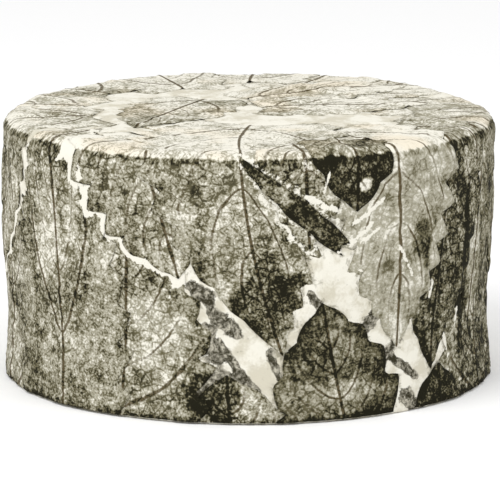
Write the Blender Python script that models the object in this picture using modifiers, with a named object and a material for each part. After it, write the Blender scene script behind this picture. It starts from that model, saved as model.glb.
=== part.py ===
"""A whole small truckle of pressed cow's milk cheese, wrapped in nettle leaves.

The cheese is one solid wheel that stands on its flat base. Its leaves are brushed on by hand: one row
points up from the base, one row points down from the top over the rim, and a few lie flat on the top.
Each leaf is a thin wavy solid that lies over the cheese and over the leaves put on before it.
Metres, +Z up, origin at the middle of the base, azimuth counted from -Y towards +X.
"""

import math
import random

import bmesh
import bpy
import numpy as np
from mathutils import Vector
from mathutils.bvhtree import BVHTree

for old in list(bpy.data.objects):
    bpy.data.objects.remove(old, do_unlink=True)

# The wheel
WHEEL_RADIUS = 0.0639
WHEEL_HEIGHT = 0.0688
RIM_RADIUS = 0.0026
BASE_EDGE_RADIUS = 0.0010
WAIST_DEPTH = 0.0009
WAIST_HEIGHT = 0.27
WAIST_SPREAD = 0.17
FOOT_FLARE = 0.0004
FOOT_REACH = 0.006
LEAN_DEPTH = 0.0004
LEAN_AZIMUTH = 78
LUMP_DEPTH = 0.00022
LUMP_WAVELENGTHS = (0.043, 0.058, 0.081)
AROUND = 64

# The leaves
LEAF_THICKNESS = 0.00028
LEAF_GAP = 0.00030
DRAPE_ALLOWANCE = 0.00005
SPOTS_PER_EDGE = 18
SETTLING_STEPS = 60
FLOOR_CLEARANCE = 0.0006
TEETH = 5
COLUMNS = 6
TOOTH_DEPTH = 0.15
TOOTH_REACH = 0.055
HEART_DEPTH = 0.07
VEIN_SWEEP = 0.10
STALK_SHOULDER = 0.035
SEED = 11
CREAM_MOULD = (0.80, 0.77, 0.66)
DARK_LEAF = np.array((0.055, 0.050, 0.025))
PALE_LEAF = np.array((0.42, 0.39, 0.29))

RIM_ARC = RIM_RADIUS * math.pi / 2
TOP_RADIUS = WHEEL_RADIUS - RIM_RADIUS

# Leaves that point up from the base. Azimuth of the stalk end, how far below the base edge the stalk end
# would lie, lean of the tip towards greater azimuth, length, width, and sideways bend as a share of length.
LOWER_LEAVES = (
    (-76, 0.004, 4, 0.062, 0.040, 0.00),
    (69, 0.004, -3, 0.062, 0.040, 0.03),
    (50, 0.014, 0, 0.025, 0.026, 0.00),
    (-3, 0.020, -4, 0.033, 0.040, 0.00),
    (-31, 0.004, 5, 0.060, 0.050, -0.04),
    (-47, 0.006, -2, 0.092, 0.046, -0.05),
    (24, 0.010, -11, 0.042, 0.038, 0.00),
)
# Leaves that point down from the top. The second value is how far in from the rim the stalk end lies.
UPPER_LEAVES = (
    (-79, 0.019, 0, 0.058, 0.038, 0.00),
    (86, 0.017, -3, 0.060, 0.036, 0.03),
    (70, 0.015, -6, 0.066, 0.038, 0.00),
    (57, 0.017, -13, 0.078, 0.038, 0.09),
    (-30, 0.019, 17, 0.054, 0.050, 0.00),
    (35, 0.025, 2, 0.078, 0.046, -0.01),
    (1.5, 0.041, -14, 0.089, 0.064, 0.33),
    (12, 0.011, 3, 0.036, 0.026, 0.00),
    (25, 0.010, 0, 0.026, 0.026, 0.00),
)
# A narrow leaf laid across the upper row last. Azimuth and height of the stalk end, heading, then as above.
CROSSING_LEAF = (21, 0.046, -49, 0.035, 0.0062, 0.00)
# Leaves flat on the top. Stalk end across and away from the front, compass heading of the tip, then as above.
TOP_LEAVES = (
    (0.000, 0.020, 62, 0.048, 0.030, 0.05),
    (-0.012, 0.020, 205, 0.046, 0.032, -0.04),
    (0.004, 0.006, 84, 0.044, 0.026, 0.04),
)
# The hidden rows round the back. First and last azimuth, number of leaves, and how far below the base edge
# or in from the rim their stalk ends lie. Then how much their azimuths, leans, lengths, widths and bends vary.
HIDDEN_LOWER = (95, 262, 7, (0.003, 0.008), (0.050, 0.066))
HIDDEN_UPPER = (104, 262, 7, (0.012, 0.026), (0.052, 0.068))
AZIMUTH_SPREAD = 4
LEAN_SPREAD = 8
HIDDEN_WIDTHS = (0.033, 0.042)
BEND_SPREAD = 0.06


def lumps():
    """The slow waves of an uneven cheese: for each, its direction and rate, its phase and its height."""
    draw = random.Random(SEED)
    waves = []
    for wavelength in LUMP_WAVELENGTHS:
        for _ in range(2):
            direction = Vector([draw.gauss(0, 1) for _ in range(3)]).normalized()
            rate = np.array(direction) * 2 * math.pi / wavelength
            waves.append((rate, draw.uniform(0, 2 * math.pi), LUMP_DEPTH / 2))
    return waves


LUMPS = lumps()


def unevenness(points):
    """How far the cheese's surface stands out from the true wheel at these points."""
    height = points[:, 2] / WHEEL_HEIGHT
    azimuth = np.arctan2(points[:, 0], -points[:, 1])
    depth = sum(size * np.sin(points @ rate + phase) for rate, phase, size in LUMPS)
    depth -= WAIST_DEPTH * np.exp(-(((height - WAIST_HEIGHT) / WAIST_SPREAD) ** 2))
    depth += FOOT_FLARE * np.exp(-((points[:, 2] / FOOT_REACH) ** 2))
    towards = 0.5 + 0.5 * np.cos(azimuth - math.radians(LEAN_AZIMUTH))
    return depth - LEAN_DEPTH * np.clip(1 - height, 0, 1) * towards


def cheese_profile():
    """Half of the wheel's section, from the middle of the top down the outer side to the middle of the base."""
    outline = [(0.0, WHEEL_HEIGHT), (TOP_RADIUS * 0.36, WHEEL_HEIGHT), (TOP_RADIUS * 0.7, WHEEL_HEIGHT)]
    for step in range(3):
        angle = math.pi / 2 * (1 - step / 2)
        across = TOP_RADIUS + RIM_RADIUS * math.cos(angle)
        up = WHEEL_HEIGHT - RIM_RADIUS + RIM_RADIUS * math.sin(angle)
        outline.append((across, up))
    for share in (0.74, 0.52, 0.34, 0.18):
        outline.append((WHEEL_RADIUS, WHEEL_HEIGHT * share))
    for step in range(3):
        angle = math.pi / 2 * step / 2
        across = WHEEL_RADIUS - BASE_EDGE_RADIUS + BASE_EDGE_RADIUS * math.cos(angle)
        outline.append((across, BASE_EDGE_RADIUS - BASE_EDGE_RADIUS * math.sin(angle)))
    outline.append((0.0, 0.0))
    return outline


def outward(points):
    """The true wheel's outward direction at points on its side, rim and top; none on its base."""
    across = np.hypot(points[:, 0], points[:, 1])
    radial = points[:, :2] / np.maximum(across, 1e-9)[:, None]
    on_rim = points[:, 2] > WHEEL_HEIGHT - RIM_RADIUS
    beyond = np.clip((across - TOP_RADIUS) / RIM_RADIUS, 0, 1)
    level = np.where(on_rim, beyond, np.where(points[:, 2] > 0, 1.0, across / WHEEL_RADIUS))
    rise = np.where(on_rim, np.sqrt(1 - beyond**2), 0.0)
    return np.column_stack((radial * level[:, None], rise))


def make_cheese(collection):
    """The cheese: its section turned once round, then made as uneven as a pressed and matured wheel."""
    section = bpy.data.meshes.new("cheese_section")
    outline = cheese_profile()
    edges = [(i, i + 1) for i in range(len(outline) - 1)]
    section.from_pydata([(across, 0.0, up) for across, up in outline], edges, [])
    turned = bpy.data.objects.new("cheese_section", section)
    collection.objects.link(turned)
    screw = turned.modifiers.new("turn", "SCREW")
    screw.axis = "Z"
    screw.steps = AROUND
    screw.render_steps = AROUND
    screw.use_merge_vertices = True
    screw.merge_threshold = 0.00001
    graph = bpy.context.evaluated_depsgraph_get()
    mesh = bpy.data.meshes.new_from_object(turned.evaluated_get(graph))
    bpy.data.objects.remove(turned, do_unlink=True)
    mesh.name = "cheese"
    points = np.array([v.co for v in mesh.vertices])
    points += outward(points) * unevenness(points)[:, None]
    for vertex, point in zip(mesh.vertices, points):
        vertex.co = point
    mesh.shade_smooth()
    mesh.set_sharp_from_angle(angle=math.radians(50))
    cheese = bpy.data.objects.new("cheese", mesh)
    collection.objects.link(cheese)
    return cheese


def swell(share):
    """A leaf's half width from stalk end to tip, before it is scaled: a heart-shaped base and a long point."""
    return (share + STALK_SHOULDER) ** 0.35 * (1 - share)


WIDEST = max(swell(step / 200) for step in range(200))


def leaf_point(share, side, length, width, bend, tooth_tip):
    """A point of the flat leaf: side runs from -1 to 1 across it, and the rows rise like its side veins."""
    half = width / 2 * swell(share) / WIDEST
    forward = VEIN_SWEEP * abs(side) ** 1.5 * math.sin(math.pi * share)
    forward -= HEART_DEPTH * abs(side) * (1 - share) ** 6
    if abs(side) == 1:
        half *= 1 if tooth_tip else 1 - TOOTH_DEPTH
        forward += TOOTH_REACH * (1 - share) if tooth_tip else 0
    across = side * half + bend * length * share**2
    return across, length * (share + forward)


def flat_leaf(length, width, bend):
    """The leaf as a flat grid, two rows to a tooth, that closes to one point at the tip."""
    grid = bmesh.new()
    rows = 2 * TEETH
    before = None
    for row in range(rows):
        points = []
        for column in range(COLUMNS + 1):
            side = 2 * column / COLUMNS - 1
            across, along = leaf_point(row / rows, side, length, width, bend, row % 2 == 1)
            points.append(grid.verts.new((across, along, 0)))
        if before:
            for column in range(COLUMNS):
                grid.faces.new((before[column], before[column + 1], points[column + 1], points[column]))
        before = points
    tip = grid.verts.new((bend * length, length, 0))
    for column in range(COLUMNS):
        grid.faces.new((before[column], before[column + 1], tip))
    return grid


def lay_flat(grid, start, heading):
    """Turns and moves the flat leaf: it points along its heading, from its stalk end at start."""
    angle = math.radians(heading)
    for vertex in grid.verts:
        across, along = vertex.co.x, vertex.co.y
        vertex.co.x = start[0] + across * math.cos(angle) + along * math.sin(angle)
        vertex.co.y = start[1] - across * math.sin(angle) + along * math.cos(angle)


def crease(grid):
    """Cuts rows into the leaf where it bends over the rim, and cuts it off just above the floor."""
    floor = FLOOR_CLEARANCE - (WHEEL_HEIGHT - RIM_RADIUS)
    everything = grid.verts[:] + grid.edges[:] + grid.faces[:]
    bmesh.ops.bisect_plane(
        grid, geom=everything, plane_co=(0, floor, 0), plane_no=(0, 1, 0), clear_inner=True
    )
    near = RIM_ARC / 5
    for share in (0.0, 0.5, 1.0):
        bend_line = RIM_ARC * share
        for vertex in grid.verts:
            if abs(vertex.co.y - bend_line) < near:
                vertex.co.y = bend_line
        everything = grid.verts[:] + grid.edges[:] + grid.faces[:]
        bmesh.ops.bisect_plane(
            grid, geom=everything, plane_co=(0, bend_line, 0), plane_no=(0, 1, 0), dist=0.00001
        )


def skin(azimuth, flat):
    """Where points of a flat leaf fall on the cheese's skin, and the skin's outward direction there.

    A leaf over the side or the rim has its own azimuth; its second coordinate counts up the side from
    where the rim starts to round. A leaf on the top has none, and its coordinates are the plan's.
    """
    if azimuth is None:
        feet = np.column_stack((flat, np.full(len(flat), WHEEL_HEIGHT)))
        ups = np.tile((0.0, 0.0, 1.0), (len(flat), 1))
    else:
        start = math.radians(azimuth)
        turn = start + flat[:, 0] / WHEEL_RADIUS
        tilt = np.clip(flat[:, 1] / RIM_RADIUS, 0, math.pi / 2)
        inward = np.clip(flat[:, 1] - RIM_ARC, 0, None)
        drop = np.clip(-flat[:, 1], 0, None)
        ring = TOP_RADIUS + RIM_RADIUS * np.cos(tilt)
        across = ring * np.sin(turn) - inward * math.sin(start)
        away = -ring * np.cos(turn) + inward * math.cos(start)
        up = WHEEL_HEIGHT - RIM_RADIUS + RIM_RADIUS * np.sin(tilt) - drop
        feet = np.column_stack((across, away, up))
        level = np.cos(tilt)
        ups = np.column_stack((np.sin(turn) * level, -np.cos(turn) * level, np.sin(tilt)))
    return feet + ups * unevenness(feet)[:, None], ups


def add_to_ground(ground, thing):
    """Adds a finished solid to what later leaves have to lie over."""
    graph = bpy.context.evaluated_depsgraph_get()
    solid = thing.evaluated_get(graph)
    mesh = solid.to_mesh()
    first = len(ground["points"])
    ground["points"] += [thing.matrix_world @ v.co for v in mesh.vertices]
    ground["faces"] += [[first + i for i in face.vertices] for face in mesh.polygons]
    solid.to_mesh_clear()


def covered_height(ground, feet, ups):
    """How high the cheese and the leaves already laid stand over each foot, along its outward direction."""
    tree = BVHTree.FromPolygons(ground["points"], ground["faces"])
    reach = 0.02
    heights = np.zeros(len(feet))
    for i, (foot, up) in enumerate(zip(feet, ups)):
        direction = Vector(up)
        hit = tree.ray_cast(Vector(foot) + direction * reach, -direction, 2 * reach)
        if hit[0] is not None:
            heights[i] = reach - hit[3]
    return heights


def drape(grid, azimuth, ground):
    """Lets the leaf down on what is under it: each corner sinks for as long as the whole leaf clears it."""
    grid.verts.index_update()
    flat = np.array([v.co[:2] for v in grid.verts])
    corners = np.array([[v.index for v in face.verts] for face in grid.faces])
    parts = SPOTS_PER_EDGE
    spots = [(i, j, parts - i - j) for i in range(parts + 1) for j in range(parts + 1 - i)]
    weights = np.array(spots) / parts
    feet, ups = skin(azimuth, flat)
    spread = np.einsum("kc,fcd->fkd", weights, flat[corners]).reshape(-1, 2)
    spot_feet, spot_ups = skin(azimuth, spread)
    needed = covered_height(ground, spot_feet, spot_ups) + LEAF_GAP + DRAPE_ALLOWANCE
    heights = np.full(len(flat), needed.max() + LEAF_GAP)
    for _ in range(SETTLING_STEPS):
        lifted = (feet + ups * heights[:, None])[corners]
        points = np.einsum("kc,fcd->fkd", weights, lifted).reshape(-1, 3)
        slack = ((points - spot_feet) * spot_ups).sum(1) - needed
        slack = slack.reshape(len(corners), -1, 1)
        room = np.where(weights[None] > 0, slack / np.maximum(weights[None], 0.001), np.inf).min(1)
        sink = np.full(len(flat), np.inf)
        np.minimum.at(sink, corners, room)
        heights -= np.clip(sink, 0, None) / 3
    for vertex, point in zip(grid.verts, feet + ups * heights[:, None]):
        vertex.co = point


def make_leaf(collection, ground, name, azimuth, start, heading, length, width, bend):
    """One leaf: a flat grid, laid on the wheel, given its thickness outwards."""
    grid = flat_leaf(length, width, bend)
    lay_flat(grid, start, heading)
    if azimuth is not None:
        crease(grid)
    bmesh.ops.triangulate(grid, faces=grid.faces[:], quad_method="SHORT_EDGE")
    drape(grid, azimuth, ground)
    bmesh.ops.recalc_face_normals(grid, faces=grid.faces[:])
    middle = grid.faces[:][len(grid.faces) // 2]
    level = Vector((middle.calc_center_median().x, middle.calc_center_median().y, 0))
    out = Vector((0, 0, 1)) if azimuth is None or middle.normal.z**2 > 0.5 else level
    if middle.normal.dot(out) < 0:
        bmesh.ops.reverse_faces(grid, faces=grid.faces[:])
    mesh = bpy.data.meshes.new(name)
    grid.to_mesh(mesh)
    grid.free()
    mesh.shade_smooth()
    leaf = bpy.data.objects.new(name, mesh)
    collection.objects.link(leaf)
    thicken = leaf.modifiers.new("leaf_thickness", "SOLIDIFY")
    thicken.thickness = LEAF_THICKNESS
    thicken.offset = 1
    thicken.use_rim = True
    mesh.set_sharp_from_angle(angle=math.radians(50))
    add_to_ground(ground, leaf)
    return leaf


def hidden_row(draw, first, last, count, starts, lengths):
    """Leaves round the back of the wheel, evenly spaced and as uneven as the ones in front."""
    row = []
    for i in range(count):
        azimuth = first + (last - first) * i / (count - 1) + draw.uniform(-AZIMUTH_SPREAD, AZIMUTH_SPREAD)
        lean = draw.uniform(-LEAN_SPREAD, LEAN_SPREAD)
        length = draw.uniform(*lengths)
        width = draw.uniform(*HIDDEN_WIDTHS)
        stalk_end = draw.uniform(*starts)
        row.append((azimuth, stalk_end, lean, length, width, draw.uniform(-BEND_SPREAD, BEND_SPREAD)))
    return row


def give_material(thing, colour, roughness):
    """The piece's own finish."""
    material = bpy.data.materials.new(thing.name + "_finish")
    material.use_nodes = True
    shader = material.node_tree.nodes["Principled BSDF"]
    shader.inputs["Base Color"].default_value = (*colour, 1)
    shader.inputs["Roughness"].default_value = roughness
    shader.inputs["Metallic"].default_value = 0
    thing.data.materials.append(material)


def main():
    """Makes the wheel, then its leaves from the base up, in the order that they were laid."""
    collection = bpy.data.collections.new("cornish_yarg")
    bpy.context.scene.collection.children.link(collection)
    ground = {"points": [], "faces": []}
    cheese = make_cheese(collection)
    give_material(cheese, CREAM_MOULD, 0.85)
    add_to_ground(ground, cheese)

    draw = random.Random(SEED)
    lower = hidden_row(draw, *HIDDEN_LOWER) + list(LOWER_LEAVES)
    upper = hidden_row(draw, *HIDDEN_UPPER) + list(UPPER_LEAVES)
    laid = []
    for i, (azimuth, below, lean, length, width, bend) in enumerate(lower):
        start = (0, -(WHEEL_HEIGHT - RIM_RADIUS) - below)
        laid.append((f"leaf_lower_{i + 1:02d}", azimuth, start, lean, length, width, bend))
    for i, (azimuth, inset, lean, length, width, bend) in enumerate(upper):
        start = (0, RIM_ARC + inset)
        laid.append((f"leaf_upper_{i + 1:02d}", azimuth, start, 180 - lean, length, width, -bend))
    azimuth, height, heading, length, width, bend = CROSSING_LEAF
    start = (0, height - (WHEEL_HEIGHT - RIM_RADIUS))
    laid.append(("leaf_crossing", azimuth, start, heading, length, width, bend))
    for i, (across, away, heading, length, width, bend) in enumerate(TOP_LEAVES):
        laid.append((f"leaf_top_{i + 1}", None, (across, away), heading, length, width, bend))

    for details in laid:
        leaf = make_leaf(collection, ground, *details)
        give_material(leaf, DARK_LEAF + (PALE_LEAF - DARK_LEAF) * draw.uniform(0.1, 0.8), 0.8)


main()
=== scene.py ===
import math
import random

import bmesh
import bpy
import numpy as np
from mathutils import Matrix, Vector, noise


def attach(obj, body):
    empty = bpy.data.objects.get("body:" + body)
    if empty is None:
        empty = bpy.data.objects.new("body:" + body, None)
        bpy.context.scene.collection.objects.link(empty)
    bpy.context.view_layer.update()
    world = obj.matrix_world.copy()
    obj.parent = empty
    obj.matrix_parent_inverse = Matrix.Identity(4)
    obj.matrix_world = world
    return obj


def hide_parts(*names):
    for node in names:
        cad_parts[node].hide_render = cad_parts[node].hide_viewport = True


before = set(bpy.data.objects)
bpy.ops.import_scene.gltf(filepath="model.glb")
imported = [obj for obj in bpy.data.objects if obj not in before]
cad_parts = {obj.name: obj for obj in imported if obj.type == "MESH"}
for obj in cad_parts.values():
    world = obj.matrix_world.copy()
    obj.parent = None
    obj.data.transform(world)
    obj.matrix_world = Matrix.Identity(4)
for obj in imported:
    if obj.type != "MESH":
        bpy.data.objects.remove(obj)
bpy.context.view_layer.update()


# The wheel of cheese
# One pressed wheel of cow's milk curd, dry outside and solid right through. Where no leaf covers it,
# its skin is a soft cream-white mould with a finely pitted, powdery face. It stands on its own weight.

WHEEL_RADIUS = 0.0639
WHEEL_HEIGHT = 0.0688
RIM_RADIUS = 0.0026
BASE_EDGE_RADIUS = 0.0010
WAIST_DEPTH = 0.0009
WAIST_HEIGHT = 0.27
WAIST_SPREAD = 0.17
FOOT_FLARE = 0.0004
FOOT_REACH = 0.006
LEAN_DEPTH = 0.0004
LEAN_AZIMUTH = 78
LUMP_DEPTH = 0.00022
LUMP_WAVELENGTHS = (0.043, 0.058, 0.081)
SEED = 11
SKIN_STEP = 0.0009
SKIN_AROUND = 440
TOP_RINGS = 54
RIM_STEPS = 6
EDGE_STEPS = 3
BASE_RINGS = 12
RIM_ARC = RIM_RADIUS * math.pi / 2
TOP_RADIUS = WHEEL_RADIUS - RIM_RADIUS
SIDE_TOP = WHEEL_HEIGHT - RIM_RADIUS


def lumps():
    """The slow waves of an uneven cheese: for each, its direction and rate, its phase and its height."""
    draw = random.Random(SEED)
    waves = []
    for wavelength in LUMP_WAVELENGTHS:
        for _ in range(2):
            direction = Vector([draw.gauss(0, 1) for _ in range(3)]).normalized()
            rate = np.array(direction) * 2 * math.pi / wavelength
            waves.append((rate, draw.uniform(0, 2 * math.pi), LUMP_DEPTH / 2))
    return waves


LUMPS = lumps()


def unevenness(points):
    """How far the cheese's surface stands out from the true wheel at these points."""
    height = points[:, 2] / WHEEL_HEIGHT
    azimuth = np.arctan2(points[:, 0], -points[:, 1])
    depth = sum(size * np.sin(points @ rate + phase) for rate, phase, size in LUMPS)
    depth -= WAIST_DEPTH * np.exp(-(((height - WAIST_HEIGHT) / WAIST_SPREAD) ** 2))
    depth += FOOT_FLARE * np.exp(-((points[:, 2] / FOOT_REACH) ** 2))
    towards = 0.5 + 0.5 * np.cos(azimuth - math.radians(LEAN_AZIMUTH))
    return depth - LEAN_DEPTH * np.clip(1 - height, 0, 1) * towards


def outward(points):
    """The true wheel's outward direction at points on its side, rim and top; none inside its base."""
    across = np.hypot(points[:, 0], points[:, 1])
    radial = points[:, :2] / np.maximum(across, 1e-9)[:, None]
    on_rim = points[:, 2] > SIDE_TOP
    beyond = np.clip((across - TOP_RADIUS) / RIM_RADIUS, 0, 1)
    level = np.where(on_rim, beyond, np.where(points[:, 2] > 0, 1.0, across / WHEEL_RADIUS))
    rise = np.where(on_rim, np.sqrt(1 - beyond**2), 0.0)
    return np.column_stack((radial * level[:, None], rise))


def rough(points, size, octaves=3):
    """Seeded unevenness between about -1 and 1, with features of the given size."""
    return np.array([noise.fractal(Vector(p), 1.0, 2.0, octaves) for p in points / size])


def smooth(low, high, values):
    """0 below low, 1 above high, and an even slope between them."""
    share = np.clip((values - low) / (high - low), 0, 1)
    return share * share * (3 - 2 * share)


def wheel_section():
    """Half of the wheel's section as close points, from the middle of the top to the middle of the base."""
    outline = [(TOP_RADIUS * i / TOP_RINGS, WHEEL_HEIGHT) for i in range(TOP_RINGS)]
    for i in range(RIM_STEPS + 1):
        angle = math.pi / 2 * (1 - i / RIM_STEPS)
        outline.append((TOP_RADIUS + RIM_RADIUS * math.cos(angle), SIDE_TOP + RIM_RADIUS * math.sin(angle)))
    steps = round((SIDE_TOP - BASE_EDGE_RADIUS) / SKIN_STEP)
    for i in range(1, steps):
        outline.append((WHEEL_RADIUS, SIDE_TOP + (BASE_EDGE_RADIUS - SIDE_TOP) * i / steps))
    edge = WHEEL_RADIUS - BASE_EDGE_RADIUS
    for i in range(EDGE_STEPS + 1):
        angle = math.pi / 2 * i / EDGE_STEPS
        outline.append((edge + BASE_EDGE_RADIUS * math.cos(angle), BASE_EDGE_RADIUS * (1 - math.sin(angle))))
    return outline + [(edge * (1 - i / BASE_RINGS), 0.0) for i in range(1, BASE_RINGS + 1)]


def turn_wheel():
    """The section turned once round the axis."""
    outline = wheel_section()
    section = bpy.data.meshes.new("wheel_section")
    edges = [(i, i + 1) for i in range(len(outline) - 1)]
    section.from_pydata([(across, 0.0, up) for across, up in outline], edges, [])
    turned = bpy.data.objects.new("wheel_section", section)
    bpy.context.scene.collection.objects.link(turned)
    screw = turned.modifiers.new("turn", "SCREW")
    screw.steps = screw.render_steps = SKIN_AROUND
    screw.use_merge_vertices = True
    screw.merge_threshold = 0.00001
    graph = bpy.context.evaluated_depsgraph_get()
    mesh = bpy.data.meshes.new_from_object(turned.evaluated_get(graph))
    bpy.data.objects.remove(turned)
    whole = bpy.data.objects.new("cheese_wheel", mesh)
    bpy.context.scene.collection.objects.link(whole)
    mesh.shade_smooth()
    return whole


def points_of(mesh):
    """A mesh's points, one a row."""
    return np.array([v.co for v in mesh.vertices])


def note(mesh, name, values):
    """Keeps a number or three numbers for each point, for the finish to read."""
    values = np.asarray(values, np.float32)
    kind, key = ("FLOAT_VECTOR", "vector") if values.ndim == 2 else ("FLOAT", "value")
    mesh.attributes.new(name, kind, "POINT").data.foreach_set(key, values.ravel())


class Tone:
    """One output of a finish's nodes, so that sums on it read as sums."""

    def __init__(self, tree, socket):
        self.tree = tree
        self.socket = socket

    def node(self, kind, settings, inputs, output=0):
        """Adds a node: its settings first, then the values or links of its sockets."""
        made = self.tree.nodes.new(kind)
        for name, value in settings.items():
            setattr(made, name, value)
        for name, value in inputs.items():
            if isinstance(value, Tone):
                self.tree.links.new(value.socket, made.inputs[name])
            else:
                made.inputs[name].default_value = value
        return Tone(self.tree, made.outputs[output])

    def other(self, name):
        """Another output of the same node."""
        return Tone(self.tree, self.socket.node.outputs[name])

    def sum(self, operation, *values):
        return self.node("ShaderNodeMath", {"operation": operation}, dict(enumerate(values)))

    def __add__(self, value):
        return self.sum("ADD", self, value)

    def __radd__(self, value):
        return self.sum("ADD", value, self)

    def __sub__(self, value):
        return self.sum("SUBTRACT", self, value)

    def __rsub__(self, value):
        return self.sum("SUBTRACT", value, self)

    def __mul__(self, value):
        return self.sum("MULTIPLY", self, value)

    def __rmul__(self, value):
        return self.sum("MULTIPLY", value, self)

    def __abs__(self):
        return self.sum("ABSOLUTE", self)

    def fraction(self):
        return self.sum("FRACT", self)

    def over(self, value):
        return self.sum("MAXIMUM", self, value)

    def slope(self, low, high):
        """0 at low, 1 at high and even between them. Low may be the greater of the two."""
        inputs = {"Value": self, "From Min": low, "From Max": high, "To Min": 0.0, "To Max": 1.0}
        return self.node("ShaderNodeMapRange", {"interpolation_type": "SMOOTHSTEP"}, inputs)

    def blend(self, low, high, way="MIX"):
        """Goes from the colour low to the colour high as this tone goes from 0 to 1."""
        inputs = {0: self}
        for number, colour in ((6, low), (7, high)):
            inputs[number] = colour if isinstance(colour, Tone) else (*colour, 1)
        return self.node("ShaderNodeMix", {"data_type": "RGBA", "blend_type": way}, inputs, 2)

    def grain(self, size, detail=2.0, roughness=0.5, output=0):
        """Cloudy noise about this place, with features of the given size in metres."""
        inputs = {"Vector": self, "Scale": 1 / size, "Detail": detail, "Roughness": roughness}
        return self.node("ShaderNodeTexNoise", {}, inputs, output)

    def cell_walls(self, size):
        """How far it is to the walls of uneven cells about this place, as a share of the cells' size."""
        inputs = {"Vector": self, "Scale": 1 / size}
        return self.node("ShaderNodeTexVoronoi", {"feature": "DISTANCE_TO_EDGE"}, inputs, "Distance")

    def shift(self, amount, size):
        """This place pushed about by cloudy noise of the given size."""
        cloud = self.grain(size, output=1)
        centred = self.node("ShaderNodeVectorMath", {"operation": "SUBTRACT"}, {0: cloud, 1: (0.5, 0.5, 0.5)})
        scaled = self.node("ShaderNodeVectorMath", {"operation": "SCALE"}, {0: centred, "Scale": 2 * amount})
        return self.node("ShaderNodeVectorMath", {"operation": "ADD"}, {0: self, 1: scaled})

    def kept(self, name, output="Vector"):
        """Reads back what note() kept."""
        settings = {"attribute_type": "GEOMETRY", "attribute_name": name}
        return self.node("ShaderNodeAttribute", settings, {}, output)

    def feed(self, shader, name):
        """Leads this tone to one of the shader's sockets."""
        self.tree.links.new(self.socket, shader.inputs[name])


def new_finish(name, roughness):
    """A material with one dull shader, and the start of its sums."""
    material = bpy.data.materials.new(name)
    material.use_nodes = True
    shader = material.node_tree.nodes["Principled BSDF"]
    shader.inputs["Roughness"].default_value = roughness
    shader.inputs["Specular IOR Level"].default_value = 0.08
    return material, shader, Tone(material.node_tree, None)


CREAM = (0.78, 0.755, 0.665)
BUFF = (0.60, 0.565, 0.46)
STAIN_AND_SHADE = (0.24, 0.22, 0.155)
TORN_LEAF = (0.035, 0.031, 0.017)


def mould_finish():
    """Cream-white mould: powdery, finely pitted, faintly buff in patches, grey in flecks, and greyer beside
    the leaves' edges with painted shade.
    """
    material, shader, start = new_finish("cream_mould", 0.9)
    place = start.node("ShaderNodeTexCoord", {}, {}, "Object").shift(0.0012, 0.004)
    edge_darkening = start.kept("edge_darkening", "Fac")
    powder = place.grain(0.0007, 3.0, 0.65) - 0.5
    flecks = place.grain(0.0022, 4.0, 0.7) - 0.5
    cream = (place.grain(0.006, 3.0, 0.55) + 0.25 * powder).slope(0.36, 0.58).blend(BUFF, CREAM)
    # Grey from real flecks of stain, and from a band of painted shade beside each leaf's edge, where the
    # mould dips below the leaf.
    grey = (flecks + 0.20 * edge_darkening + 0.3 * powder).slope(0.10, 0.30)
    cream = (0.75 * grey).blend(cream, STAIN_AND_SHADE)
    shred = start.kept("shred", "Fac")
    torn = (0.45 + 1.3 * flecks + 0.7 * powder).slope(0.30, 0.85).blend(TORN_LEAF, BUFF)
    (shred + 1.3 * flecks + 0.6 * powder).slope(0.42, 0.60).blend(cream, torn).feed(shader, "Base Color")
    height = 0.5 * powder + place.grain(0.0016, 3.0, 0.6)
    bump = {"Height": height, "Strength": 0.7, "Distance": 0.00022}
    start.node("ShaderNodeBump", {}, bump).feed(shader, "Normal")
    return material


wheel = turn_wheel()
wheel_feet = points_of(wheel.data)
wheel.data.materials.append(mould_finish())


# The lower row of leaves
# Whole stinging-nettle leaves, wetted and brushed flat on to the cheese by hand, stalk end down. The
# grey-white mould that grows through them holds them in place, and leaves their veins dark.

# Thickness of a leaf and its share at the margin, the mould under the leaves, and the rise from one
# layer of leaves to the next.
LEAF_BODY = 0.00026
EDGE_BODY = 0.35
MOULD_COAT = 0.00055
SKIN_CLEARANCE = 0.00003
LAYER_STEP = 0.00042
# How close to another leaf's margin a leaf starts to climb on to it, and how much of the other's veins
# shows through.
DRAPE_REACH = 0.0020
SHOW_THROUGH = 0.8
PUCKER_HEIGHT = 0.00010
FLOOR_CLEARANCE = 0.0006
# The blade's rows and columns. Its columns crowd towards the midrib.
BLADE_STEP = 0.00085
BLADE_COLUMNS = 44
CROWDING = 1.25
# The outline: how far the rows run forward at the margin, and how the heart-shaped base is drawn.
VEIN_SWEEP = 0.10
HEART_DEPTH = 0.07
STALK_SHOULDER = 0.035
SHOULDER_FULLNESS = 0.35
NEAR_TIP = 0.98
# How far round the wheel a leaf can reach from its stalk end, in radians.
WRAP_REACH = 1.2
# The teeth: length, depth as a share of the half width, how uneven they are, and where each one peaks.
TOOTH_LENGTH = 0.0078
TOOTH_DEPTH = 0.21
TOOTH_SIZES = (0.55, 1.25)
TOOTH_PEAK = 0.74
DEEP_TEETH = {"leaf_upper_12": 0.30, "leaf_upper_13": 0.27, "leaf_upper_14": 0.24, "leaf_lower_14": 0.26}
# The side veins: how far they rise to the margin, how much they curve, the gap between them and where the
# first ones leave the midrib, as shares of the length. Two leaves in front have their own.
VEIN_RISES = (0.26, 0.38)
VEIN_CURVES = (1.3, 1.7)
VEIN_GAPS = (0.14, 0.18)
VEIN_STARTS = (0.02, 0.08)
FRONT_VEINS = {"leaf_lower_13": (0.49, 1.3, 0.17, 0.283), "leaf_lower_12": (0.30, 1.4, 0.18, 0.12)}
STEEPEST_VEIN = 2.5
# Height and width of the ridges of the midrib, which sinks towards the tip, and of the side veins.
MIDRIB_RIDGE = (0.00034, 0.0007)
MIDRIB_SINK = 0.7
FIRST_VEIN_HEIGHT = 0.00030
VEIN_RIDGE = (0.00017, 0.0006)
# How far in from the rim the finish still tells the distance.
RIM_NEAR = 0.01
# A leaf narrower than this shows no midrib.
NARROW = 0.010
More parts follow.
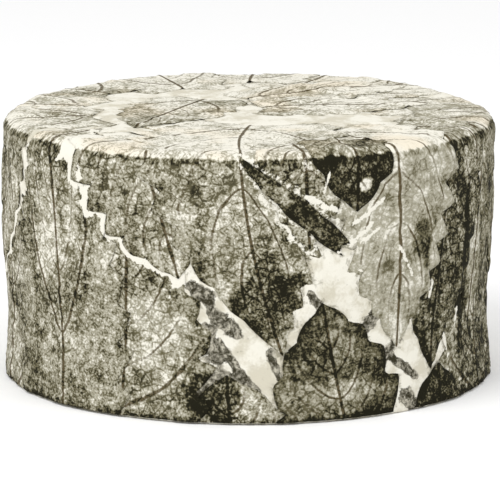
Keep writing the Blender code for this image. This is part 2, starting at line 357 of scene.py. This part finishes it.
# Leaves on which the mould is more even, and how much of the usual mottling they keep.
EVEN_MOULD = {"leaf_upper_13": 0.6, "leaf_upper_09": 0.75, "leaf_upper_10": 0.75, "leaf_lower_14": 0.75}
# How much the mould varies from place to place, and over what distance.
MOULD_SPREAD = 0.14
MOULD_SPREAD_SIZE = 0.016
# Scale of the shift through the noise that sets each leaf's pattern apart.
PATCH_STEP = 0.01

# The leaves round the back: first and last azimuth and how many, where they start and how long they are.
# The rest holds for the hidden leaves of the upper row too.
HIDDEN_LOWER = (95, 262, 7)
LOWER_STARTS = (0.003, 0.008)
LOWER_LENGTHS = (0.050, 0.066)
HIDDEN_SWAY = 4
HIDDEN_LEAN = 8
HIDDEN_WIDTHS = (0.033, 0.042)
HIDDEN_BEND = 0.06
HIDDEN_MOULD = 0.45
HIDDEN_SEAM = 0.4

# Azimuth of the stalk end, how far below the base edge it would lie, lean of the tip towards greater
# azimuth, length, width, sideways bend as a share of length, how much mould has grown over the leaf, and
# how strong a pale seam it has grown along the leaf's edge.
LOWER_LEAVES = (
    (-76, 0.004, 4, 0.062, 0.040, 0.00, 0.45, 0.4),
    (69, 0.004, -3, 0.062, 0.040, 0.03, 0.31, 0.3),
    (50, 0.014, 0, 0.025, 0.026, 0.00, 0.20, 0.3),
    (-3, 0.020, -4, 0.033, 0.040, 0.00, 0.45, 0.2),
    (-31, 0.004, 5, 0.060, 0.050, -0.04, 0.41, 0.3),
    (-47, 0.006, -2, 0.092, 0.046, -0.05, 0.42, 0.15),
    (24, 0.010, -11, 0.042, 0.038, 0.00, 0.20, 0.3),
)


def hidden_row(draw, first, last, count, starts, lengths):
    """Leaves round the back of the wheel, evenly spaced and as uneven as the ones in front."""
    row = []
    for i in range(count):
        azimuth = first + (last - first) * i / (count - 1) + draw.uniform(-HIDDEN_SWAY, HIDDEN_SWAY)
        lean = draw.uniform(-HIDDEN_LEAN, HIDDEN_LEAN)
        length = draw.uniform(*lengths)
        width = draw.uniform(*HIDDEN_WIDTHS)
        start = draw.uniform(*starts)
        bend = draw.uniform(-HIDDEN_BEND, HIDDEN_BEND)
        row.append((azimuth, start, lean, length, width, bend, HIDDEN_MOULD, HIDDEN_SEAM))
    return row


def swell(share):
    """A leaf's half width from stalk end to tip, before it is scaled: a heart-shaped base, a long point."""
    share = np.clip(share, 0, 1)
    return (share + STALK_SHOULDER) ** SHOULDER_FULLNESS * (1 - share)


WIDEST = swell(np.linspace(0, 1, 201)).max()


class Leaf:
    """One leaf as it was picked, and where it was laid on the wheel."""

    def __init__(self, name, azimuth, start, heading, length, width, bend, dust, seam):
        self.name = name
        self.azimuth = azimuth
        self.start = start
        self.turn = math.radians(heading)
        self.length = length
        self.width = width
        self.bend = bend
        self.dust = dust
        self.seam = seam
        draw = random.Random(name)
        self.teeth = round(length / TOOTH_LENGTH)
        self.tooth_depth = DEEP_TEETH.get(name, TOOTH_DEPTH)
        sizes = [[draw.uniform(*TOOTH_SIZES) for _ in range(self.teeth + 2)] for _ in range(2)]
        self.tooth_sizes = np.array(sizes)
        self.tooth_offsets = np.array([draw.uniform(0, 0.5) for _ in range(2)])
        veins = [draw.uniform(*span) for span in (VEIN_RISES, VEIN_CURVES, VEIN_GAPS, VEIN_STARTS)]
        self.vein_rise, self.vein_curve, self.vein_gap, self.vein_first = FRONT_VEINS.get(name, veins)
        self.patch = np.array([draw.uniform(-9, 9) for _ in range(3)])

    def half_width(self, share):
        """Half the leaf's width along its midrib, over the tips of its teeth."""
        return self.width / 2 * swell(share) / WIDEST

    def notch(self, share, side):
        """How much the notches between the teeth take off the half width. The teeth point forward."""
        right = (side > 0).astype(int)
        count = np.clip(share, 0, 1) * self.teeth + self.tooth_offsets[right]
        within = count - np.floor(count)
        front = (within / TOOTH_PEAK) ** 0.75
        shape = np.where(within < TOOTH_PEAK, front, ((1 - within) / (1 - TOOTH_PEAK)) ** 1.1)
        return self.tooth_depth * self.tooth_sizes[right, np.floor(count).astype(int)] * (1 - shape)

    def forward(self, share, side):
        """How far the leaf's rows run ahead of the midrib, and fall back at the heart-shaped base."""
        side = np.minimum(np.abs(side), 1)
        share = np.clip(share, 0, 1)
        return VEIN_SWEEP * side**1.5 * np.sin(math.pi * share) - HEART_DEPTH * side * (1 - share) ** 6

    def flat(self, share, side):
        """Points of the leaf laid flat, at its place and heading."""
        across = side * self.half_width(share) * (1 - self.notch(share, side) * np.abs(side) ** 4)
        across += self.bend * self.length * share**2
        along = self.length * (share + self.forward(share, side))
        x = self.start[0] + across * math.cos(self.turn) + along * math.sin(self.turn)
        y = self.start[1] - across * math.sin(self.turn) + along * math.cos(self.turn)
        return np.column_stack((x, y))

    def unlay(self, feet):
        """Share and side of the leaf at points of the true wheel, and whether its wrap reaches them."""
        x, y, up = feet.T
        on = up > WHEEL_HEIGHT - 1e-6
        if self.azimuth is not None:
            start = math.radians(self.azimuth)
            turn = (np.arctan2(x, -y) - start + math.pi) % (2 * math.pi) - math.pi
            cross = x * math.cos(start) + y * math.sin(start)
            radial = x * math.sin(start) - y * math.cos(start)
            level = np.clip(cross / TOP_RADIUS, -1, 1)
            tilt = np.arcsin(np.clip((up - SIDE_TOP) / RIM_RADIUS, 0, 1))
            x = np.where(on, np.arcsin(level), turn) * WHEEL_RADIUS
            y = np.where(up > SIDE_TOP, RIM_RADIUS * tilt, up - SIDE_TOP)
            y = np.where(on, RIM_ARC + TOP_RADIUS * np.sqrt(1 - level**2) - radial, y)
            on = np.where(on, radial > 0, np.abs(turn) < WRAP_REACH)
        x = x - self.start[0]
        y = y - self.start[1]
        across = x * math.cos(self.turn) - y * math.sin(self.turn)
        along = (x * math.sin(self.turn) + y * math.cos(self.turn)) / self.length
        share = along
        for _ in range(4):
            held = np.clip(share, 0, NEAR_TIP)
            side = (across - self.bend * self.length * held**2) / self.half_width(held)
            share = along - self.forward(held, side)
        return share, side, on

    def depth(self, feet):
        """How far points of the true wheel lie inside the leaf's margin. It is negative outside."""
        share, side, on = self.unlay(feet)
        half = self.half_width(np.clip(share, 0, NEAR_TIP))
        from_margin = half * (1 - self.notch(share, side)) - np.abs(side) * half
        return np.where(on, np.minimum(from_margin, np.minimum(share, 1 - share) * self.length), -1.0)

    def beyond(self, feet, reach, tries=9):
        """How far points of the true wheel lie outside the leaf's toothed edge, up to the given reach."""
        share, side, on = self.unlay(feet)
        across = np.abs(side) * self.half_width(np.clip(share, 0, NEAR_TIP))
        nearest = -self.depth(feet)
        outside = nearest > 0
        for step in np.linspace(-reach, reach, tries):
            row = np.clip(share + step / self.length, 0, 1)
            edge = self.half_width(row) * (1 - self.notch(row, side))
            gap = np.hypot(np.maximum(across - edge, 0), (row - share) * self.length)
            nearest = np.where(outside & on, np.minimum(nearest, gap), nearest)
        return nearest

    def vein_phase(self, share, side):
        """Counts the side veins along the leaf: a whole number falls on a vein."""
        return (share - self.vein_rise * np.abs(side) ** self.vein_curve - self.vein_first) / self.vein_gap

    def vein_spacing(self, share, side):
        """The distance between neighbouring side veins, square to them."""
        climb = self.vein_rise * self.vein_curve * np.abs(side) ** (self.vein_curve - 1)
        steepness = np.minimum(climb * self.length / self.half_width(np.clip(share, 0, 0.9)), STEEPEST_VEIN)
        return self.vein_gap * self.length / np.hypot(1, steepness)

    def relief(self, share, side):
        """The veins' ridges."""
        off = np.abs(side) * self.half_width(share)
        tall, wide = MIDRIB_RIDGE
        ridge = tall * (1 - MIDRIB_SINK * share) * np.exp(-((off / wide) ** 2))
        phase = self.vein_phase(share, side)
        near = np.abs(phase - np.round(phase)) * self.vein_spacing(share, side)
        fade = np.clip(1 - np.abs(side), 0, 1) ** 0.5 * (phase > -0.5)
        tall, wide = VEIN_RIDGE
        height = np.where(phase < 0.5, FIRST_VEIN_HEIGHT, tall)
        return np.maximum(ridge, height * fade * np.exp(-((near / wide) ** 2)))


def skin(azimuth, flat):
    """Where points of a flat leaf fall on the true wheel, and the outward direction there.

    A leaf over the side or the rim has its own azimuth; its second coordinate counts up the side from
    where the rim starts to round. A leaf on the top has none, and its coordinates are the plan's.
    """
    if azimuth is None:
        feet = np.column_stack((flat, np.full(len(flat), WHEEL_HEIGHT)))
        return feet, np.tile((0.0, 0.0, 1.0), (len(flat), 1))
    start = math.radians(azimuth)
    turn = start + flat[:, 0] / WHEEL_RADIUS
    tilt = np.clip(flat[:, 1] / RIM_RADIUS, 0, math.pi / 2)
    inward = np.clip(flat[:, 1] - RIM_ARC, 0, None)
    ring = TOP_RADIUS + RIM_RADIUS * np.cos(tilt)
    across = ring * np.sin(turn) - inward * math.sin(start)
    away = -ring * np.cos(turn) + inward * math.cos(start)
    up = SIDE_TOP + RIM_RADIUS * np.sin(tilt) - np.clip(-flat[:, 1], 0, None)
    level = np.cos(tilt)
    ups = np.column_stack((np.sin(turn) * level, -np.cos(turn) * level, np.sin(tilt)))
    return np.column_stack((across, away, up)), ups


def blade(leaf):
    """The flat leaf as a fine grid that closes to its tip, cut off just above the floor."""
    rows = round(leaf.length / BLADE_STEP)
    step = np.linspace(-1, 1, BLADE_COLUMNS + 1)
    side = np.sign(step) * np.abs(step) ** CROWDING
    share = np.append(np.repeat(np.arange(rows) / rows, len(side)), 1.0)
    side = np.append(np.tile(side, rows), 0.0)
    grid = bmesh.new()
    shares = grid.verts.layers.float.new("share")
    sides = grid.verts.layers.float.new("side")
    corners = []
    for (x, y), a, b in zip(leaf.flat(share, side), share, side):
        corner = grid.verts.new((x, y, 0))
        corner[shares] = a
        corner[sides] = b
        corners.append(corner)
    wide = BLADE_COLUMNS + 1
    for row in range(rows):
        for i in range(row * wide, row * wide + BLADE_COLUMNS):
            ahead = (corners[i + 1 + wide], corners[i + wide]) if row < rows - 1 else (corners[-1],)
            grid.faces.new((corners[i], corners[i + 1], *ahead))
    if leaf.azimuth is not None:
        everything = grid.verts[:] + grid.edges[:] + grid.faces[:]
        floor = (0, FLOOR_CLEARANCE - SIDE_TOP, 0)
        bmesh.ops.bisect_plane(grid, geom=everything, plane_co=floor, plane_no=(0, 1, 0), clear_inner=True)
    mesh = bpy.data.meshes.new(leaf.name)
    grid.to_mesh(mesh)
    grid.free()
    return mesh


def numbers_of(mesh, name):
    """Reads a number for each point back from a mesh."""
    values = np.zeros(len(mesh.vertices), np.float32)
    mesh.attributes[name].data.foreach_get("value", values)
    return values.astype(float)


# Spots where the mould is thinner (-) or thicker (+): azimuth and height of the middle in degrees and
# millimetres, half size in each direction, and how much. Those on the top are in millimetres both ways.
SIDE_SPOTS = (
    (5, 31, 8, 10, -0.33),
    (3, 37, 3, 3, 0.12),
    (8, 27, 2.5, 2, 0.14),
    (27, 61, 1.6, 1.6, 0.8),
    (-8, 7, 6, 6, -0.4),
    (43, 8, 5, 6, -0.35),
    (-54, 46, 5, 17, 0.15),
    (-45, 55, 3, 9, 0.12),
    (-21, 22, 7, 11, 0.2),
    (5, 58, 4, 5, 0.25),
    (43, 45, 3, 6, -0.3),
    (66, 33, 4, 15, 0.2),
    (64, 62, 6, 7, 0.2),
    (60, 28, 1.5, 26, -0.2),
    (0, 6, 40, 5, 0.10),
)
# Painted shadow lines along the edges of leaves that lie over others and down folds, drawn as less mould
# with some bare leaf in them: azimuth and height of the two ends, again in degrees and millimetres, and
# half width in millimetres.
SHADOW_LINES = (
    (52.5, 70, 48, 52, 0.35),
    (48, 52, 44.5, 42, 0.35),
    (44.5, 42, 44.5, 20, 0.4),
    (44.5, 20, 50, 5, 0.3),
    (61, 58, 59, 40, 0.5),
    (59, 40, 59, 12, 0.4),
    (63, 30, 67, 8, 0.3),
    (-14, 62, -11, 54, 0.22),
    (-11, 54, -11, 36, 0.25),
    (-41, 60, -40, 47, 0.35),
    (-59, 35, -58, 2, 0.3),
    (6, 18, 10, 4, 0.3),
    (9, 20, 11, 6, 0.3),
    (12, 50, 12, 24, 0.2),
)
TOP_SPOTS = (
    (5, -10, 6, 5, 0.3),
    (16, -11, 5, 4, -0.4),
    (31, 37, 17, 9, 0.1),
    (-42, 28, 17, 11, -0.2),
    (-29, -10, 11, 18, -0.15),
    (23, -36, 12, 18, -0.08),
    (-48, -8, 9, 12, -0.15),
    (-12, 8, 8, 10, -0.12),
)
# How much less mould lies on the painted shadow lines and the rim than elsewhere, how much darker the
# foot is, and how much more mould lies on top.
SHADOW_LINE_DEPTH = 0.20
RIM_WEAR = 0.12
FOOT_DARKENING = 0.22
TOP_MOULD = 0.31
# The darker band along the foot ends between these heights, give or take its wandering.
FOOT_EDGE = (0.0006, 0.0024)
FOOT_WANDERING = 0.0008
# How ragged the edges of lines and spots are.
LINE_RAGGEDNESS = 0.6
SPOT_RAGGEDNESS = 0.5


def streaks(feet, lines):
    """How far points of the true wheel lie within the given ragged lines on its side."""
    across = WHEEL_RADIUS * np.arctan2(feet[:, 0], -feet[:, 1])
    ragged = 1 + LINE_RAGGEDNESS * rough(feet, 0.003)
    within = np.zeros(len(feet))
    for start, low, end, high, half in lines:
        x = math.radians(start) * WHEEL_RADIUS
        y = low / 1000
        run_x = math.radians(end) * WHEEL_RADIUS - x
        run_y = high / 1000 - y
        along = ((across - x) * run_x + (feet[:, 2] - y) * run_y) / (run_x**2 + run_y**2)
        along = np.clip(along, 0, 1)
        away = np.hypot(across - x - along * run_x, feet[:, 2] - y - along * run_y)
        within = np.maximum(within, 1 - smooth(0.2, 2.4, away * ragged * 1000 / half))
    return within


def spots(feet):
    """How much more mould than elsewhere has grown at points of the true wheel, less the painted shadow lines
    and the darker band along the foot.
    """
    azimuth = np.degrees(np.arctan2(feet[:, 0], -feet[:, 1]))
    on_top = feet[:, 2] > WHEEL_HEIGHT - 1e-6
    ragged = SPOT_RAGGEDNESS * rough(feet, 0.005)
    wandering = rough(feet, 0.012)
    # A darker band along the foot, just above the floor.
    more = -FOOT_DARKENING * (1 - smooth(*FOOT_EDGE, feet[:, 2] + FOOT_WANDERING * wandering))
    # Painted shadow lines along leaf edges and folds take mould off, so they come out dark.
    more -= SHADOW_LINE_DEPTH * streaks(feet, SHADOW_LINES)
    for places, right, x, y in (
        (SIDE_SPOTS, ~on_top, azimuth, feet[:, 2] * 1000),
        (TOP_SPOTS, on_top, feet[:, 0] * 1000, feet[:, 1] * 1000),
    ):
        for middle_x, middle_y, half_x, half_y, amount in places:
            away = np.hypot((x - middle_x) / half_x, (y - middle_y) / half_y) + ragged
            more += np.where(right, amount * (1 - smooth(0.8, 1.1, away)), 0)
    return more


DARK_OLIVE = (0.013, 0.012, 0.006)
OLIVE = (0.125, 0.112, 0.062)
GREY_OLIVE = (0.36, 0.34, 0.26)
VEIN_BROWN = (0.085, 0.063, 0.030)
WARM_TINT = (1.0, 0.86, 0.68)


def leaf_finish():
    """A dull olive leaf under grey-white mould that is thin over the veins and thick between them."""
    material, shader, start = new_finish("mould_dusted_leaf", 0.85)
    place = start.kept("place")
    run = start.node("ShaderNodeSeparateXYZ", {}, {"Vector": start.kept("run")}, "X")
    dust = start.kept("dust", "Fac")
    seam = start.kept("seam", "Fac")
    margin = start.kept("margin", "Fac")
    inward = start.kept("inward", "Fac")
    calm = start.kept("calm", "Fac")
    # Unevenness of four sizes, from patches of mould down to its powder.
    bent = place.shift(0.0007, 0.005)
    clouds = bent.grain(0.008, 3.0, 0.55) - 0.5
    blotches = bent.grain(0.0035, 3.0, 0.6) - 0.5
    flecks = bent.grain(0.0017, 3.0, 0.6) - 0.5
    powder = place.grain(0.0006, 2.0, 0.6) - 0.5
    # The veins: side veins, midrib, and the fine ones between them.
    phase = run + 0.25 * clouds + 0.06 * flecks
    near = abs((phase + 0.5).fraction() - 0.5) * run.other("Z")
    thin = margin.slope(0.0, 0.006) * phase.slope(-0.6, -0.45)
    first = abs(phase).slope(0.5, 0.42)
    bared = 0.35 + 0.65 * bent.grain(0.012, 2.0).slope(0.42, 0.58)
    lateral = (near.slope(0.00042, 0.00012) * bared).over(near.slope(0.00062, 0.00020) * first) * thin
    across = abs(run.other("Y")) + 0.0004 * clouds
    midrib = across.slope(0.00052, 0.00020)
    main_vein = midrib.over(0.85 * lateral)
    ladder = bent.cell_walls(0.0028).slope(0.11, 0.02)
    net = place.shift(0.0003, 0.0008).cell_walls(0.0013).slope(0.18, 0.03)
    fine_veins = (0.26 * ladder * thin).over(0.10 * net)
    flank = (near.slope(0.0019, 0.0007) * thin).over(across.slope(0.0020, 0.0009))
    # How much mould there is, with more on the top and less where the rim has been rubbed.
    rim = inward + 0.0016 * clouds + 0.0012 * flecks
    top = rim.slope(0.0019, 0.0025)
    edge_darkening = abs(rim - 0.0012).slope(0.0011, 0.0004)
    mottle = (0.55 * blotches + 1.0 * flecks + 1.05 * powder - fine_veins).over(-0.30)
    level = dust + TOP_MOULD * top - RIM_WEAR * edge_darkening + 0.70 * clouds + calm * mottle
    # Less mould on the veins and just inside the margin; the dark band inside the margin is partly the leaf's
    # own dark edge and partly painted shade along the edge.
    level = level + 0.12 * flank - 0.25 * main_vein - 0.10 * margin.slope(0.0014, 0.0002)
    # Its colour, from bare leaf to thick mould, then the veins and seams over it.
    body = level.slope(0.03, 0.26).blend(DARK_OLIVE, OLIVE)
    body = level.slope(0.22, 0.48).blend(body, GREY_OLIVE)
    body = level.slope(0.46, 0.82).blend(body, CREAM)
    body = (0.38 * top * place.grain(0.018, 2.0).slope(0.48, 0.70)).blend(body, WARM_TINT, "MULTIPLY")
    body = (main_vein * (0.9 - 0.6 * powder)).blend(body, VEIN_BROWN, "DARKEN")
    body = (seam + 0.8 * flecks + 0.5 * powder).slope(0.42, 0.60).blend(body, CREAM)
    body.feed(shader, "Base Color")
    height = 0.6 * powder + 0.5 * flecks - 0.5 * fine_veins + 0.35 * main_vein + 0.2 * level
    bump = {"Height": height, "Strength": 0.8, "Distance": 0.00025}
    start.node("ShaderNodeBump", {}, bump).feed(shader, "Normal")
    return material


LEAF_FINISH = leaf_finish()
laid = []


def lay(leaf):
    """Brushes a leaf on to the wheel, over the leaves laid before it, and gives it its thickness."""
    mesh = blade(leaf)
    share = numbers_of(mesh, "share")
    side = numbers_of(mesh, "side")
    flat = points_of(mesh)[:, :2]
    feet, ups = skin(leaf.azimuth, flat)
    height = np.full(len(feet), MOULD_COAT + SKIN_CLEARANCE)
    for under, *_ in laid:
        depth = under.depth(feet)
        if depth.max() > -DRAPE_REACH:
            under_share, under_side, _ = under.unlay(feet)
            shows = SHOW_THROUGH * smooth(0.0, 0.0008, depth) * under.relief(under_share, under_side)
            height += smooth(-DRAPE_REACH, -0.0001, depth) * LAYER_STEP + shows
    half = leaf.half_width(share)
    notch = leaf.notch(share, side)
    margin = half * (1 - notch - np.abs(side) * (1 - notch * side**4))
    margin = np.minimum(margin, share * leaf.length)
    pucker = PUCKER_HEIGHT * rough(feet + leaf.patch[0] * PATCH_STEP, 0.010) * smooth(0, 0.004, margin)
    height += leaf.relief(share, side) + np.abs(pucker)
    points = feet + ups * (unevenness(feet) + height)[:, None]
    mesh.vertices.foreach_set("co", points.astype(np.float32).ravel())
    mesh.update()
    mesh.shade_smooth()
    offset = leaf.patch * PATCH_STEP
    note(mesh, "place", np.column_stack((flat + offset[:2], np.full(len(flat), offset[2]))))
    midrib = side * half if leaf.width > NARROW else np.full(len(flat), NARROW)
    phase = leaf.vein_phase(share, side)
    note(mesh, "run", np.column_stack((phase, midrib, leaf.vein_spacing(share, side))))
    note(mesh, "margin", margin)
    inward = WHEEL_RADIUS - np.hypot(feet[:, 0], feet[:, 1]) + feet[:, 2] - SIDE_TOP
    note(mesh, "inward", np.minimum(inward, RIM_NEAR))
    note(mesh, "calm", np.full(len(flat), EVEN_MOULD.get(leaf.name, 1.0)))
    uneven = MOULD_SPREAD * rough(feet + offset, MOULD_SPREAD_SIZE, 2)
    # The mould on the leaf, less the painted shadow lines and the darker foot band that spots() takes off.
    note(mesh, "dust", leaf.dust + spots(feet) + uneven)
    piece = bpy.data.objects.new(leaf.name + "_blade", mesh)
    bpy.context.scene.collection.objects.link(piece)
    group = piece.vertex_groups.new(name="body")
    body = EDGE_BODY + (1 - EDGE_BODY) * smooth(0, 0.0015, margin)
    for i, value in enumerate(body):
        group.add((i,), float(value), "REPLACE")
    thicken = piece.modifiers.new("leaf_thickness", "SOLIDIFY")
    thicken.thickness = LEAF_BODY
    thicken.offset = 1
    thicken.vertex_group = "body"
    piece.data.materials.append(LEAF_FINISH)
    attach(piece, "root")
    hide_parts(leaf.name)
    laid.append((leaf, piece, feet, ups))


draw = random.Random(SEED)
hidden_lower = hidden_row(draw, *HIDDEN_LOWER, LOWER_STARTS, LOWER_LENGTHS)
for i, (azimuth, below, *rest) in enumerate(hidden_lower + list(LOWER_LEAVES)):
    lay(Leaf(f"leaf_lower_{i + 1:02d}", azimuth, (0, -SIDE_TOP - below), *rest))


# The upper row of leaves
# The same kind of leaf, stalk end on the top, folded down over the rim while wet so that its point hangs
# over the lower row. The row at the front has a whitish one, a nearly black one and a long middle one.

HIDDEN_UPPER = (104, 262, 7)
UPPER_STARTS = (0.012, 0.026)
UPPER_LENGTHS = (0.052, 0.068)
# How far in from the rim the stalk end lies comes second. The rest is as for the lower row.
UPPER_LEAVES = (
    (-79, 0.019, 0, 0.058, 0.038, 0.00, 0.44, 0.8),
    (86, 0.017, -3, 0.060, 0.036, 0.03, 0.35, 0.3),
    (70, 0.015, -6, 0.066, 0.038, 0.00, 0.30, 0.3),
    (57, 0.017, -13, 0.078, 0.038, 0.09, 0.22, 0.3),
    (-30, 0.019, 17, 0.054, 0.050, 0.00, 0.46, 1.0),
    (35, 0.025, 2, 0.078, 0.046, -0.01, 0.54, 0.3),
    (1.5, 0.041, -14, 0.089, 0.064, 0.33, 0.48, 0.25),
    (12, 0.011, 3, 0.036, 0.026, 0.00, 0.42, 0.6),
    (25, 0.010, 0, 0.026, 0.026, 0.00, 0.12, 0.4),
)

hidden_upper = hidden_row(draw, *HIDDEN_UPPER, UPPER_STARTS, UPPER_LENGTHS)
for i, (azimuth, inset, lean, length, width, bend, *rest) in enumerate(hidden_upper + list(UPPER_LEAVES)):
    start = (0, RIM_ARC + inset)
    lay(Leaf(f"leaf_upper_{i + 1:02d}", azimuth, start, 180 - lean, length, width, -bend, *rest))


# The crossing leaf
# A narrow young leaf laid slantwise over the upper row. Little mould has grown on it, so it is one of the
# darkest leaves on the wheel.

# Azimuth and height of the stalk end, then as for the lower row.
CROSSING_LEAF = (21, 0.046, -49, 0.035, 0.0062, 0.00, 0.19, 0.52)

azimuth, height, *rest = CROSSING_LEAF
lay(Leaf("leaf_crossing", azimuth, (0, height - SIDE_TOP), *rest))


# The leaves on the top
# Three more nettle leaves, laid flat over the stalk ends of the upper row where they meet on the top. The
# same mould holds them, and it grows thicker up here than on the side.

# Stalk end across and away from the front, compass heading of the tip, then as for the lower row.
TOP_LEAVES = (
    (0.000, 0.020, 62, 0.048, 0.030, 0.05, 0.40, 0.4),
    (-0.012, 0.020, 205, 0.046, 0.032, -0.04, 0.35, 0.4),
    (0.004, 0.006, 84, 0.044, 0.026, 0.04, 0.42, 0.4),
)

for i, (across, away, *rest) in enumerate(TOP_LEAVES):
    lay(Leaf(f"leaf_top_{i + 1}", None, (across, away), *rest))


# The mould in the gaps and along the seams
# After a few weeks the mould has swollen up between the leaves, nearly flush with them, and has grown as
# a pale line along the edge of each leaf that lies over another.

# How far the mould stands up in the gaps, between these distances from the nearest leaf, and its pitting.
GAP_SWELL = 0.00030
GAP_EDGE = (0.0003, 0.0018)
PITTING = 0.00006
# How far the seams stand up, between which distances from the leaf's edge they fade out, and how ragged
# they are.
SEAM_SWELL = 0.00018
SEAM_REACH = (0.0008, 0.0022)
SEAM_RAGGEDNESS = 0.9
CREASE_STRENGTH = 0.8

# Shreds of torn leaf that show through the mould in the gaps, as lines like the painted shadow lines.
SHREDS = (
    (-7, 21, 5, 3, 1.0),
    (-8.5, 29, -3, 24, 1.4),
    (-10, 23, -7, 18, 2.3),
    (5, 19, 9, 5, 0.8),
    (-13, 36, -9, 32, 1.5),
    (-3, 13, -5, 10, 1.2),
    (-10, 13, -6, 12, 1.8),
    (-11, 8, -9, 11, 1.4),
    (14, 34, 17, 29, 0.8),
    (26, 21, 31, 28, 1.4),
    (32, 13, 37, 20, 1.1),
    (35, 15, 42, 9, 0.9),
    (39, 4, 43, 0, 1.8),
)
# Creases of the leaves in front, filled with mould.
CREASES = (
    (21, 44, 29, 51, 0.5),
    (24, 51, 32, 57, 0.5),
    (26, 46, 31, 50, 0.4),
    (13, 59, 20, 55, 0.5),
    (-46, 70, -46, 67, 1.6),
    (-42, 64, -41, 57, 0.7),
    (36, 44, 40, 36, 0.4),
    (52, 18, 54, 12, 0.5),
    (58, 24, 57, 19, 0.45),
    (47, 33, 46, 29, 0.4),
    (17, 60, 18, 65, 0.25),
)


def grow_mould():
    """Raises the wheel's skin in the gaps, paints shade on it beside the leaves' edges, and marks the seams
    on the leaves.
    """
    cover = np.max([leaf.depth(wheel_feet) for leaf, *_ in laid], axis=0)
    lift = MOULD_COAT + GAP_SWELL * smooth(*GAP_EDGE, -cover)
    lift += (PITTING * rough(wheel_feet, 0.0035)) * smooth(0.0, 0.001, -cover)
    lift = np.where(wheel_feet[:, 2] > 0, lift, 0)
    points = wheel_feet + outward(wheel_feet) * (unevenness(wheel_feet) + lift)[:, None]
    wheel.data.vertices.foreach_set("co", points.astype(np.float32).ravel())
    wheel.data.update()
    # Painted shade: a band on the mould just outside each leaf's edge, where the step up to the leaf would
    # shade it.
    note(wheel.data, "edge_darkening", 1 - smooth(0.0, 0.0016, -cover))
    note(wheel.data, "shred", streaks(wheel_feet, SHREDS))
    for i, (_, piece, feet, ups) in enumerate(laid):
        seam = np.zeros(len(feet))
        ragged = 1 + SEAM_RAGGEDNESS * rough(feet, 0.004)
        for over, *_ in laid[i + 1 :]:
            away = over.beyond(feet, SEAM_REACH[1])
            band = smooth(-0.0003, 0.0002, away) * (1 - smooth(*SEAM_REACH, away * ragged))
            seam = np.maximum(seam, over.seam * band)
        seam = np.maximum(seam, CREASE_STRENGTH * streaks(feet, CREASES))
        note(piece.data, "seam", seam)
        points = points_of(piece.data) + ups * (SEAM_SWELL * seam)[:, None]
        piece.data.vertices.foreach_set("co", points.astype(np.float32).ravel())
        piece.data.update()


grow_mould()
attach(wheel, "root")
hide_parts("cheese")


# The studio
# A plain white table that the wheel stands on, under soft, even light from all round. Two large lamps in
# front add a little more, mostly from the upper left.

CAMERA_AWAY = 1.1123
CAMERA_PITCH = 0.2038
CAMERA_LENS = 305.8
CAMERA_SHIFT = (0.0023, -0.0192)
LOOK_HEIGHT = 0.0347
TABLE_HALF = 3
STUDIO_BRIGHTNESS = 0.82

floor_mesh = bpy.data.meshes.new("floor")
corners = [(TABLE_HALF * x, TABLE_HALF * y, 0) for x, y in ((-1, -1), (1, -1), (1, 1), (-1, 1))]
floor_mesh.from_pydata(corners, [], [(0, 1, 2, 3)])
floor = bpy.data.objects.new("floor", floor_mesh)
bpy.context.scene.collection.objects.link(floor)
floor_material, floor_shader, _ = new_finish("white_table", 0.8)
floor_shader.inputs["Base Color"].default_value = (1, 1, 1, 1)
floor.data.materials.append(floor_material)

world = bpy.data.worlds.new("studio")
bpy.context.scene.world = world
world.use_nodes = True
world.node_tree.nodes["Background"].inputs["Color"].default_value = (1, 1, 1, 1)
world.node_tree.nodes["Background"].inputs["Strength"].default_value = STUDIO_BRIGHTNESS


def soft_light(name, place, size, power):
    """A large square lamp that faces the wheel."""
    lamp = bpy.data.lights.new(name, "AREA")
    lamp.size = size
    lamp.energy = power
    lit = bpy.data.objects.new(name, lamp)
    lit.location = place
    lit.rotation_euler = (Vector((0, 0, 0.035)) - Vector(place)).to_track_quat("-Z", "Y").to_euler()
    bpy.context.scene.collection.objects.link(lit)


soft_light("upper_left", (-0.5, -0.6, 0.9), 0.7, 6)
soft_light("upper_right", (0.6, -0.5, 0.8), 0.6, 2)

camera = bpy.data.cameras.new("camera")
camera.sensor_width = 36
camera.lens = CAMERA_LENS
camera.shift_x, camera.shift_y = CAMERA_SHIFT
camera.clip_start = 0.05
viewer = bpy.data.objects.new("camera", camera)
bpy.context.scene.collection.objects.link(viewer)
viewer.location = (0, -CAMERA_AWAY, LOOK_HEIGHT + CAMERA_AWAY * math.tan(CAMERA_PITCH))
viewer.rotation_euler = (math.pi / 2 - CAMERA_PITCH, 0, 0)
bpy.context.scene.camera = viewer
bpy.context.scene.view_settings.view_transform = "Standard"
